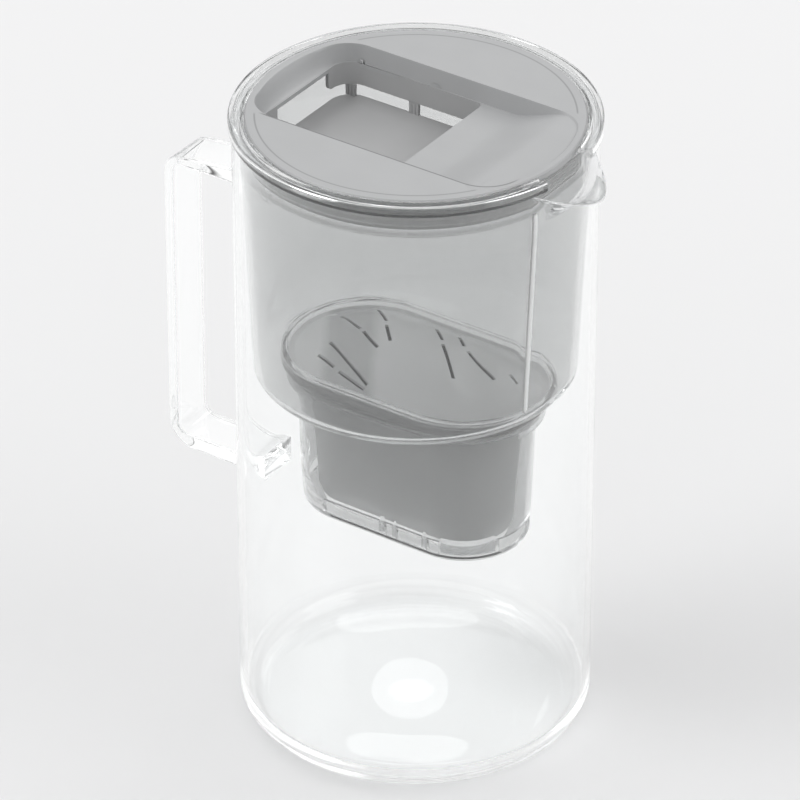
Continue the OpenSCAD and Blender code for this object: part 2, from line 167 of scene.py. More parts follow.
class Wire:
    """A shader socket in a Python expression: arithmetic on it adds Math nodes."""

    def __init__(self, shader, socket):
        self.shader = shader
        self.socket = socket

    def _math(self, operation, a, b):
        return self.shader.node("ShaderNodeMath", {"operation": operation}, {0: a, 1: b})

    def __add__(self, other):
        return self._math("ADD", self, other)

    __radd__ = __add__

    def __sub__(self, other):
        return self._math("SUBTRACT", self, other)

    def __rsub__(self, other):
        return self._math("SUBTRACT", other, self)

    def __mul__(self, other):
        return self._math("MULTIPLY", self, other)

    __rmul__ = __mul__

    def __abs__(self):
        return self.shader.node("ShaderNodeMath", {"operation": "ABSOLUTE"}, {0: self})

    def clamp(self, lowest, highest):
        return self._math("MINIMUM", self._math("MAXIMUM", self, lowest), highest)


class Shader:
    """The node tree of one material or of the world."""

    def __init__(self, owner):
        owner.use_nodes = True
        self.tree = owner.node_tree
        self.tree.nodes.clear()

    def node(self, kind, settings=None, inputs=None, output=0):
        """Adds a node: its settings first, then the values or links of its sockets."""
        made = self.tree.nodes.new(kind)
        for key, value in (settings or {}).items():
            setattr(made, key, value)
        for key, value in (inputs or {}).items():
            if isinstance(value, Wire):
                self.tree.links.new(value.socket, made.inputs[key])
            elif isinstance(value, tuple) and made.inputs[key].type == "RGBA":
                made.inputs[key].default_value = (*value[:3], 1)
            else:
                made.inputs[key].default_value = value
        return Wire(self, made.outputs[output]) if len(made.outputs) else made

    def place(self):
        """The point on the object, in metres."""
        return self.node("ShaderNodeTexCoord", output="Object")

    def axis(self, k):
        """One coordinate of that point: 0, 1 or 2 for x, y or z."""
        return self.node("ShaderNodeSeparateXYZ", None, {0: self.place()}, output=k)

    def from_line(self, x=0.0, y=0.0):
        """Distance of that point from the upright line through x and y."""
        flat = self.node("ShaderNodeVectorMath", {"operation": "MULTIPLY"}, {0: self.place(), 1: (1.0, 1.0, 0.0)})
        return self.node("ShaderNodeVectorMath", {"operation": "DISTANCE"}, {0: flat, 1: (x, y, 0.0)}, output=1)

    def noise(self, scale, detail=2.0, rough=0.5):
        return self.node("ShaderNodeTexNoise", {"noise_dimensions": "3D"},
                         {"Vector": self.place(), "Scale": scale, "Detail": detail, "Roughness": rough})

    def speckle(self, scale):
        """Distance to the nearest point of a scattered set, as in granules or moulded grain."""
        return self.node("ShaderNodeTexVoronoi", {"feature": "F1"}, {"Vector": self.place(), "Scale": scale})

    def tint(self, amount, dark, pale):
        """A colour between dark and pale."""
        return self.node("ShaderNodeMix", {"data_type": "RGBA"},
                         {0: amount, 6: dark, 7: pale}, output=2)

    def bump(self, height, strength, distance):
        return self.node("ShaderNodeBump", None,
                         {"Height": height, "Strength": strength, "Distance": distance})

    def surface(self, **sockets):
        named = {key.replace("_", " "): value for key, value in sockets.items()}
        return self.node("ShaderNodeBsdfPrincipled", None, named)

    def finish(self, shader, output="ShaderNodeOutputMaterial"):
        self.node(output, None, {"Surface": shader})


def shade(tone, share):
    return tuple(channel * share for channel in tone)


def material(name):
    made = bpy.data.materials.new(name)
    return made, Shader(made)


def clear_finish(name, tone, rough, waviness, ior, middle=None):
    """Clear glass or plastic, with the waves and haze of its wall; with middle, painted shade makes it darker below
    middle's first height and in a band just over its second.
    """
    made, s = material(name)
    haze = s.noise(35.0, 3.0)
    wave = s.noise(22.0, 1.0)
    skin = s.tint(haze, shade(tone, 0.985), tone)
    if middle:
        # painted shade: darker below the first height of middle, and darker still in a band at the second
        skin = s.tint(((middle[0] - s.axis(2)) * 150).clamp(0.0, 1.0), skin, shade(tone, 0.89))
        band = (1.4 - abs(s.axis(2) - middle[1] - 0.9 * MM) * 1000).clamp(0.0, 1.0)
        skin = s.tint(band, skin, shade(tone, 0.6))
    wall = s.surface(
        Base_Color=skin,
        Roughness=haze * rough + rough * 0.3,
        IOR=ior,
        Transmission_Weight=1.0,
        Normal=s.bump(wave, 0.25, waviness))
    lets_light_through = s.node("ShaderNodeBsdfTransparent", None, {"Color": tuple(0.4 + 0.6 * c for c in tone)})
    shadow = s.node("ShaderNodeLightPath", output="Is Shadow Ray")
    trapped = (s.node("ShaderNodeLightPath", output="Ray Depth") - 12).clamp(0.0, 1.0)
    share = (shadow * 0.95 + trapped).clamp(0.0, 1.0)
    s.finish(s.node("ShaderNodeMixShader", None, {0: share, 1: wall, 2: lets_light_through}))
    return made


def moulded_finish(name, tone, rough, dark_share=0.6, dark_where=None):
    """Satin moulded plastic with fine grain, mottling and wandering gloss, darker where dark_where says; the callers
    use that mask for painted shade and, on the lid, a thin line round the border.
    """
    made, s = material(name)
    mottle = s.noise(60.0, 4.0)
    fine = s.noise(2600.0, 2.0)
    skin = s.tint(mottle, shade(tone, 0.95), shade(tone, 1.05))
    if dark_where:
        skin = s.tint(dark_where(s), skin, shade(tone, dark_share))
    s.finish(s.surface(
        Base_Color=skin,
        Roughness=mottle * 0.12 + (rough - 0.06),
        Specular_IOR_Level=0.45,
        Normal=s.bump(fine, 0.25, 0.00006)))
    return made


def rubber_finish(name, tone):
    """Soft ring with a dusty, low sheen."""
    made, s = material(name)
    dust = s.noise(420.0, 5.0)
    s.finish(s.surface(
        Base_Color=s.tint(dust, shade(tone, 0.85), shade(tone, 1.15)),
        Roughness=dust * 0.2 + 0.55,
        Sheen_Weight=0.15,
        Normal=s.bump(dust, 0.3, 0.00005)))
    return made


def screen_finish(name, tone):
    """Fine woven screen: two sets of threads across each other."""
    made, s = material(name)
    threads = [s.node("ShaderNodeTexWave", {"wave_type": "BANDS", "bands_direction": axis},
                      {"Vector": s.place(), "Scale": 260.0, "Distortion": 0.4}, output="Fac")
               for axis in ("X", "Y")]
    weave = threads[0] * 0.5 + threads[1] * 0.5
    s.finish(s.surface(
        Base_Color=s.tint(weave, shade(tone, 0.6), tone),
        Roughness=0.7,
        Normal=s.bump(weave, 0.6, 0.0002)))
    return made


def granule_finish(name, tone):
    """Bed of fine granules, dark ones among a few pale ones."""
    made, s = material(name)
    cell = s.node("ShaderNodeTexVoronoi", {"feature": "F1"},
                  {"Vector": s.place(), "Scale": 900.0}, output="Color")
    pick = s.node("ShaderNodeSeparateColor", None, {0: cell})
    pale = ((pick - 0.72) * 12).clamp(0.0, 1.0)
    height = s.speckle(900.0)
    s.finish(s.surface(
        Base_Color=s.tint(pale, tone, (0.42, 0.34, 0.22)),
        Roughness=0.6,
        Normal=s.bump(1 - height, 0.8, 0.0006)))
    return made


def dressed(obj, body, finish, nodes=(), smooth=35.0):
    """Gives a piece its finish and its body, and hides the CAD nodes that it stands for."""
    obj.data.materials.clear()
    obj.data.materials.append(finish)
    if smooth:
        obj.data.shade_smooth()
        obj.data.set_sharp_from_angle(angle=radians(smooth))
    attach(obj, body)
    if nodes:
        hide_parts(*nodes)
    return obj


def mesh_object(name, bm, weld=1e-7):
    bmesh.ops.remove_doubles(bm, verts=bm.verts, dist=weld)
    bmesh.ops.recalc_face_normals(bm, faces=bm.faces)
    mesh = bpy.data.meshes.new(name)
    bm.to_mesh(mesh)
    bm.free()
    obj = bpy.data.objects.new(name, mesh)
    bpy.context.scene.collection.objects.link(obj)
    return obj


def add_loft(bm, rings, around=True, along=False, capped=False):
    """Skins rings of equally many points; along joins the last ring to the first."""
    rows = [[bm.verts.new(p) for p in ring] for ring in rings]
    count = len(rows[0])
    steps = count if around else count - 1
    pairs = list(zip(rows, rows[1:])) + ([(rows[-1], rows[0])] if along else [])
    for a, b in pairs:
        for i in range(steps):
            j = (i + 1) % count
            corners = [a[i], a[j], b[j], b[i]]
            if len({tuple(v.co) for v in corners}) > 2:
                bm.faces.new(corners)
    if capped:
        bm.faces.new(list(reversed(rows[0])))
        bm.faces.new(rows[-1])
    return rows


def loft(name, rings, **how):
    bm = bmesh.new()
    add_loft(bm, rings, **how)
    return mesh_object(name, bm)


def arc(x, y, radius, start, end, steps=8):
    """Points of an arc; the angles are in degrees."""
    return [(x + radius * cos(radians(start + (end - start) * i / steps)),
             y + radius * sin(radians(start + (end - start) * i / steps))) for i in range(steps + 1)]


def ease(t):
    t = min(max(t, 0.0), 1.0)
    return t * t * (3 - 2 * t)


def turned(profile, segments=192, start=0.0, sweep=TURN):
    """Rings of a turned shape, one for each angle, from its (radius, height) profile."""
    return [[Vector((r * cos(start + sweep * k / segments), r * sin(start + sweep * k / segments), z))
             for r, z in profile] for k in range(segments + (0 if sweep == TURN else 1))]


def track_point(c, r, u):
    """Point u (0 to 1) of a racetrack with end radius r and straight sides 2c long, and its outward normal."""
    straight = 2 * c
    bend = pi * r
    s = u * 2 * (straight + bend)
    half = straight + bend
    side = 1 if s < half else -1
    s = s % half
    if s < bend:
        a = s / r - pi / 2
        x, y = c + r * cos(a), r * sin(a)
        n = (cos(a), sin(a))
    else:
        x, y = c - (s - bend), r
        n = (0.0, 1.0)
    return side * x, side * y, side * n[0], side * n[1]


def track_ring(c, r, z, count=160):
    """Ring of a racetrack, with points spaced as on the middle-sized one so that rings match."""
    ring = []
    middle = 26 * MM
    for k in range(count):
        x, y, nx, ny = track_point(c, middle, k / count)
        grow = r - middle
        ring.append(Vector((x + nx * grow, y + ny * grow, z)))
    return ring


def track_rings(c, profile):
    """Rings of a racetrack shape from its (end radius, height) profile."""
    return [track_ring(c, r, z) for r, z in profile]


class PITCHER_OT_stage(bpy.types.Operator):
    """Lay the pale floor, hang the soft lights and set up the camera"""
    bl_idname = "pitcher.stage"
    bl_label = "Stage"

    def execute(self, context):
        self.camera(context.scene)
        self.floor(context.scene)
        self.lights(context.scene)
        context.scene.view_settings.view_transform = "Standard"
        context.scene.cycles.max_bounces = 24
        context.scene.cycles.transmission_bounces = 24
        context.scene.cycles.glossy_bounces = 24
        context.scene.cycles.transparent_max_bounces = 16
        return {"FINISHED"}

    def camera(self, scene):
        azimuth, elevation = radians(34.4), radians(32.45)
        distance, aside, aim = 2.25, 5.57 * MM, 129.2 * MM
        back = Vector((sin(azimuth) * cos(elevation), -cos(azimuth) * cos(elevation), sin(elevation)))
        right = Vector((cos(azimuth), sin(azimuth), 0))
        up = back.cross(right)
        data = bpy.data.cameras.new("camera")
        data.sensor_width = 36
        data.lens = 280.6
        data.clip_start, data.clip_end = 0.1, 100
        data.dof.use_dof = False
        camera = bpy.data.objects.new("camera", data)
        scene.collection.objects.link(camera)
        turn = Matrix((right, up, back)).transposed().to_4x4()
        camera.matrix_world = Matrix.Translation(Vector((0, 0, aim)) - right * aside + back * distance) @ turn
        scene.camera = camera

    def floor(self, scene):
        made, s = material("pale_floor")
        tone = tuple(scene.pitcher_finishes.floor)
        cloud = s.noise(1.2, 2.0)
        # painted light fall-off: the floor is drawn darker towards the camera and paler away from it
        across = s.node("ShaderNodeVectorMath", {"operation": "DOT_PRODUCT"},
                        {0: s.place(), 1: (-0.565, 0.825, 0.0)}, output=1)
        away = (across * 0.42 + 0.42).clamp(0.0, 1.0)
        pale = s.tint(away, shade(tone, 0.89), shade(tone, 1.09))
        through = s.node("ShaderNodeLightPath", output="Is Transmission Ray")
        pale = s.tint(through * 0.6, pale, (0.98, 0.98, 0.98))
        s.finish(s.surface(Base_Color=pale, Roughness=cloud * 0.1 + 0.6, Specular_IOR_Level=0.1))
        half = 9.0
        bm = bmesh.new()
        add_loft(bm, [[Vector((x * half, y * half, -0.0004)) for x in (-1, 1)] for y in (-1, 1)], around=False)
        floor = mesh_object("floor", bm)
        floor.data.materials.append(made)
        if floor.data.polygons[0].normal.z < 0:
            floor.data.flip_normals()

    def lights(self, scene):
        world = bpy.data.worlds.new("world")
        scene.world = world
        s = Shader(world)
        up = s.node("ShaderNodeSeparateXYZ", None, {0: s.node("ShaderNodeTexCoord", output="Generated")}, output=2)
        seen = s.node("ShaderNodeLightPath", output="Is Camera Ray")
        mirrored = s.node("ShaderNodeLightPath", output="Is Glossy Ray")
        through = s.node("ShaderNodeLightPath", output="Is Transmission Ray")
        white = (seen + through).clamp(0.0, 1.0)
        band = (1 - abs(up - 0.1) * 4).clamp(0.0, 1.0) * (white + mirrored)
        strength = white * 0.35 + mirrored * 0.05 + (up * 0.3 + 0.62) - band * 0.5
        s.finish(s.node("ShaderNodeBackground", None, {"Color": (1.0, 1.0, 1.0), "Strength": strength}),
                 "ShaderNodeOutputWorld")
        for name, size, power, place in (("key_light", 1.2, 17.0, (-1.3, -1.3, 2.2)),
                                         ("fill_light", 1.6, 9.0, (1.9, 0.5, 1.7)),
                                         ("back_light", 1.4, 9.0, (-0.1, 2.3, 1.8)),
                                         ("small_light", 0.13, 0.06, (-1.29, 1.88, 1.62))):
            data = bpy.data.lights.new(name, "AREA")
            data.shape = "DISK"
            data.size = size
            data.energy = power
            lamp = bpy.data.objects.new(name, data)
            lamp.location = place
            aim = Vector((0, 0, 0.13)) - lamp.location
            lamp.rotation_euler = aim.to_track_quat("-Z", "Y").to_euler()
            scene.collection.objects.link(lamp)


class PITCHER_OT_jug(bpy.types.Operator):
    """Build the glass jug with its flared spout and its strap handle"""
    bl_idname = "pitcher.jug"
    bl_label = "Jug and handle"

    def execute(self, context):
        sizes = context.scene.pitcher_jug
        glass = clear_finish("jug_glass", tuple(context.scene.pitcher_finishes.glass), 0.012, 0.00025, 1.5)
        jug = loft("jug_glass", self.wall_rings(sizes))
        dressed(jug, "jug", glass, ["jug_body"], smooth=60)
        handle = loft("handle_glass", self.strap_rings(sizes), capped=True)
        dressed(handle, "jug", glass, ["jug_handle"], smooth=60)
        return {"FINISHED"}

    def flare(self, a):
        """How far the lip moves out at angle a, as a share of the reach."""
        u = min(abs(a) / radians(18.5), 1.0)
        return 0.6 * (1 - u ** 1.4) + 0.2 * (1 + cos(pi * u))

    def wall_rings(self, sizes):
        rim, wall = 0.8 * MM, sizes.wall
        inner = sizes.radius - wall
        bend = sizes.corner - wall
        flare_z = sizes.height - sizes.spout_depth
        rise = [flare_z + (sizes.height - rim - flare_z) * (k / 14) for k in range(15)]
        outer = [(0.0, sizes.push_up), (20 * MM, sizes.push_up * 0.9), (40 * MM, sizes.push_up * 0.5),
                 (50 * MM, 0.15 * MM)]
        outer += arc(sizes.radius - sizes.corner, sizes.corner, sizes.corner, -90, 0, 14)
        outer += [(sizes.radius, z) for z in (60 * MM, 120 * MM, 180 * MM)]
        outer += [(sizes.radius, z) for z in rise]
        lip = arc(sizes.radius - rim, sizes.height - rim, rim, 15, 90, 5)
        lip += arc(inner + rim, sizes.height - rim, rim, 90, 165, 5)
        inside = [(inner, z) for z in reversed(rise)]
        inside += [(inner, z) for z in (180 * MM, 120 * MM, 60 * MM)]
        inside += [(x, y) for x, y in reversed(arc(inner - bend, sizes.floor + bend, bend, -90, 0, 12))]
        inside += [(30 * MM, sizes.floor + 0.2 * MM), (0.0, sizes.floor + 0.5 * MM)]
        span = radians(21)
        angles = [-span + 2 * span * k / 72 for k in range(72)]
        angles += [span + (TURN - 2 * span) * k / 168 for k in range(168)]
        rings = []
        for r, z in outer + lip + inside:
            t = max((z - flare_z) / sizes.spout_depth, 0.0)
            ring = []
            for a in angles:
                out = self.flare(a if a < pi else TURN - a) if t else 0.0
                radius = r + sizes.spout_reach * out * t ** 1.7
                drop = sizes.spout_drop * out ** 0.85 * t ** 1.5
                ring.append(Vector((radius * cos(a), radius * sin(a), z - drop)))
            rings.append(ring)
        return rings

    def strap_rings(self, sizes):
        """Rings along the strap, each a rounded rectangle between an outer and an inner point."""
        out_x, in_x = -sizes.handle_reach, -sizes.handle_reach + sizes.grip
        top, bottom = sizes.handle_top, sizes.handle_low
        sag, flare, bend, low_bend, inner = 2.6 * MM, 2.4 * MM, 8 * MM, 11 * MM, 3.5 * MM
        upper_low, lower_top = top - sizes.arm, bottom + sizes.arm
        pairs = []
        steps = 12
        for k in range(steps + 1):
            t = k / steps
            x = -sizes.radius - 0.05 * MM + (out_x + bend + sizes.radius) * t
            rise = flare * (1 - ease(t * 3.4))
            pairs.append(((x, top - sag * t * t + rise), (max(x, in_x + inner), upper_low - rise)))
        outer = arc(out_x + bend, top - sag - bend, bend, 90, 180, 10)
        within = arc(in_x + inner, upper_low - inner, inner, 90, 180, 10)
        pairs += list(zip(outer, within))[1:]
        heights = [bottom + low_bend + (top - sag - bend - bottom - low_bend) * (1 - k / 10) for k in range(11)]
        pairs += [((out_x, z), (in_x, z)) for z in heights[1:-1]]
        outer = arc(out_x + low_bend, bottom + low_bend, low_bend, 180, 270, 12)
        within = arc(in_x + inner, lower_top + inner, inner, 180, 270, 12)
        pairs += list(zip(outer, within))
        for k in range(1, steps + 1):
            t = 1 - k / steps
            x = -sizes.radius - 0.05 * MM + (out_x + low_bend + sizes.radius) * t
            rise = flare * (1 - ease(t * 3.4))
            pairs.append(((x, bottom - rise), (max(x, in_x + inner), lower_top + rise)))
        half = sizes.handle_width / 2
        rings = []
        for n, ((xo, zo), (xi, zi)) in enumerate(pairs):
            middle = Vector(((xo + xi) / 2, 0, (zo + zi) / 2))
            across = Vector(((xo - xi) / 2, 0, (zo - zi) / 2))
            thick = across.length
            edge = 0.9 * MM
            ring = []
            for turn, (sy, st) in enumerate(((1, 1), (-1, 1), (-1, -1), (1, -1))):
                for y, t in arc(sy * (half - edge), st * (thick - edge), edge, turn * 90, turn * 90 + 90, 6):
                    point = middle + across * (t / thick) + Vector((0, y, 0))
                    if n in (0, len(pairs) - 1):
                        point.x = -sqrt((sizes.radius + 0.05 * MM) ** 2 - y * y)
                    ring.append(point)
            rings.append(ring)
        return rings


class PITCHER_OT_hopper(bpy.types.Operator):
    """Build the clear grey hopper: bowl, collar, flange and filter pocket"""
    bl_idname = "pitcher.hopper"
    bl_label = "Hopper"

    def execute(self, context):
        sizes = context.scene.pitcher_hopper
        tone = tuple(context.scene.pitcher_finishes.hopper)
        # painted shade on the hopper: darker below its floor and in a band at the collar's lower edge
        clear = clear_finish("hopper_clear", tone, 0.012, 0.0001, 1.42, (sizes.bottom, sizes.collar))
        bowl = loft("hopper_bowl", self.bowl_rings(sizes), along=True)
        self.cut_windows(bowl, sizes)
        dressed(bowl, "hopper", clear, ["hopper"], smooth=30)
        gap = 2 * 12.4
        start = radians(gap / 2)
        rim_clear = clear_finish("flange_clear", tuple(1.12 * c for c in tone), 0.012, 0.0001, 1.42)
        flange = loft("hopper_flange", turned(self.flange_profile(sizes), 200, start, TURN - 2 * start), capped=True)
        dressed(flange, "hopper", rim_clear, smooth=30)
        # painted highlight: a white strip up the channel's near corner
        edge = loft("hopper_channel_highlight", self.highlight_strip_rings(sizes), capped=True)
        dressed(edge, "hopper", moulded_finish("painted_highlight_white", (0.97, 0.97, 0.97), 0.2))
        return {"FINISHED"}

    def highlight_strip_rings(self, sizes):
        """Slim white strip up the near corner of the channel: a painted highlight where the wall catches the light, not
        a part of the hopper.
        """
        flat = sqrt(sizes.radius_top ** 2 - sizes.channel ** 2)
        slope = (sizes.radius_top - sizes.radius_low) / (sizes.collar - sizes.bottom)
        rings = []
        for z, r in ((152 * MM, 0.2 * MM), (154 * MM, 1.1 * MM), (190 * MM, 1.15 * MM), (sizes.collar, 1.15 * MM)):
            x = flat - (sizes.collar - z) * slope - 0.9 * MM
            rings.append([Vector((x + r * cos(a), -sizes.channel + r * sin(a), z))
                          for a in [TURN * k / 12 for k in range(12)]])
        return rings

    def flange_profile(self, sizes):
        r, top = sizes.flange_radius, sizes.top
        under = top - 3.8 * MM + 0.05 * MM
        ledge = top - 2.5 * MM
        inner = r - 5.45 * MM
        profile = [(r - 3.95 * MM, under)]
        profile += arc(r - 0.8 * MM, under + 0.8 * MM, 0.8 * MM, -90, 0, 5)
        profile += arc(r - 0.8 * MM, top - 0.8 * MM, 0.8 * MM, 0, 90, 6)
        profile += [(r - 2 * MM, top), (r - 2.4 * MM, top - 1.3 * MM), (inner + 1.4 * MM, top - 1.3 * MM),
                    (inner + 1.0 * MM, top - 0.1 * MM), (inner + 0.1 * MM, top - 0.1 * MM), (inner, top - 0.3 * MM),
                    (inner, ledge + 0.06 * MM), (r - 3.95 * MM, ledge + 0.06 * MM)]
        return profile + [profile[0]]

    def bowl_rings(self, sizes):
        """Closed wall of bowl and pocket as one run of rings, from the collar down the outside and back up."""
        wall = sizes.wall
        c = 21 * MM
        top = sizes.top - 2.5 * MM
        floor_top = sizes.bottom + wall
        lip, seat = 31.6 * MM, sizes.seat
        shoulder = 29.3 * MM
        step = 134.1 * MM
        pocket = sizes.pocket_low
        rings = []

        def radius(z):
            share = (z - sizes.bottom) / (sizes.collar - sizes.bottom)
            return sizes.radius_low + (sizes.radius_top - sizes.radius_low) * share

        flat_top = sqrt(sizes.radius_top ** 2 - sizes.channel ** 2)

        def round_ring(r, z, inset=0.0):
            flat = flat_top - (sizes.radius_top - radius(min(z, sizes.collar))) - inset
            ring = []
            for p in track_ring(c, 26 * MM, z):
                a = atan2(p.y, p.x)
                near = flat / max(cos(a), 0.05) if cos(a) > 0 else 1.0
                blend = 1.2 * MM
                h = max(blend - abs(r - near), 0.0)
                reach = min(r, near) - h * h / (4 * blend)
                ring.append(Vector((reach * cos(a), reach * sin(a), z)))
            return ring

        collar_r = sizes.radius_top + 0.3 * MM
        rings.append(round_ring(collar_r, top))
        rings += [round_ring(collar_r, z) for z in (top - 3 * MM, sizes.collar + 0.3 * MM)]
        rings.append(round_ring(sizes.radius_top, sizes.collar))
        rings += [round_ring(radius(z), z) for z in (220 * MM, 200 * MM, 180 * MM, 160 * MM)]
        bend = 5 * MM
        for x, z in reversed(arc(radius(sizes.bottom + bend) - bend, sizes.bottom + bend, bend, -90, 0, 8)):
            rings.append(round_ring(x, z, 0.0 if z > sizes.bottom + 1 * MM else (sizes.bottom + 1 * MM - z)))
        outside = [(lip + 1.5 * MM, sizes.bottom), (lip + 0.4 * MM, sizes.bottom - 0.3 * MM),
                   (lip, sizes.bottom - 1.2 * MM), (lip, seat - 1.5 * MM), (shoulder, seat - 4 * MM),
                   (shoulder, step + 1 * MM), (shoulder - 1 * MM, step), (26.2 * MM, step - 0.4 * MM),
                   (26 * MM, step - 1.2 * MM), (25.3 * MM, step - 18 * MM), (24.6 * MM, step - 36 * MM)]
        outside += list(reversed(arc(24 * MM - 3 * MM, pocket + 3 * MM, 3 * MM, -90, 0, 6)))
        outside += [(16.2 * MM, pocket), (16.2 * MM, pocket + 1.9 * MM)]
        inside = [(20 * MM, pocket + 1.9 * MM), (21.4 * MM, pocket + 2.4 * MM), (22.1 * MM, pocket + 3.6 * MM),
                  (22.7 * MM, step - 36 * MM), (23.4 * MM, step - 18 * MM), (24.1 * MM, step + 1.2 * MM),
                  (27.4 * MM, step + 2.4 * MM), (27.4 * MM, seat), (29.7 * MM, seat), (29.7 * MM, floor_top - 0.6 * MM),
                  (30.3 * MM, floor_top)]
        rings += [track_ring(c, r, z) for r, z in outside + inside]
        corner = bend - wall
        for x, z in arc(radius(sizes.bottom + bend) - wall - corner, floor_top + corner, corner, -90, 0, 6):
            rings.append(round_ring(x, z, wall))
        rings += [round_ring(radius(z) - wall, z, wall) for z in (160 * MM, 180 * MM, 200 * MM, 220 * MM)]
        rings.append(round_ring(sizes.radius_top - wall, sizes.collar, wall))
        rings.append(round_ring(sizes.radius_top - wall, top, wall))
        return rings

    def cut_windows(self, bowl, sizes):
        """Cuts the outlet windows round the foot of the pocket."""
        z = sizes.pocket_low + 2.9 * MM
        tall = 5.6 * MM
        bm = bmesh.new()
        for side in (1, -1):
            for start, end in ((-24, 0.5), (2.7, 6.3), (7.8, 19), (21, 26)):
                middle = Vector((side * (start + end) / 2 * MM, -side * 25 * MM, z + tall / 2))
                size = (abs(end - start) * MM, 9 * MM, tall)
                bmesh.ops.create_cube(bm, size=1, matrix=Matrix.Translation(middle) @ Matrix.Diagonal((*size, 1)))
            middle = Vector((side * 45 * MM, side * 2 * MM, z + tall / 2))
            bmesh.ops.create_cube(bm, size=1,
                                  matrix=Matrix.Translation(middle) @ Matrix.Diagonal((9 * MM, 24 * MM, tall, 1)))
        carve(bowl, bm)


def carve(obj, bm):
    """Cuts the closed shapes in bm out of obj."""
    mesh = bpy.data.meshes.new("cutter")
    bm.to_mesh(mesh)
    bm.free()
    cutter = bpy.data.objects.new("cutter", mesh)
    bpy.context.scene.collection.objects.link(cutter)
    cut = obj.modifiers.new("cut", "BOOLEAN")
    cut.operation = "DIFFERENCE"
    cut.solver = "EXACT"
    cut.object = cutter
    applied = bpy.data.meshes.new_from_object(obj.evaluated_get(bpy.context.evaluated_depsgraph_get()))
    obj.modifiers.clear()
    obj.data = applied
    bpy.data.objects.remove(cutter)


def recess_depth(sizes, x):
    """Depth of the recess floor of the lid below its top at x."""
    t = min(max((x - sizes.ramp_foot) / (sizes.ramp_top - sizes.ramp_foot), 0.0), 1.0)
    return sizes.depth + (sizes.step - sizes.depth) * (0.35 * ease(t) + 0.65 * t)


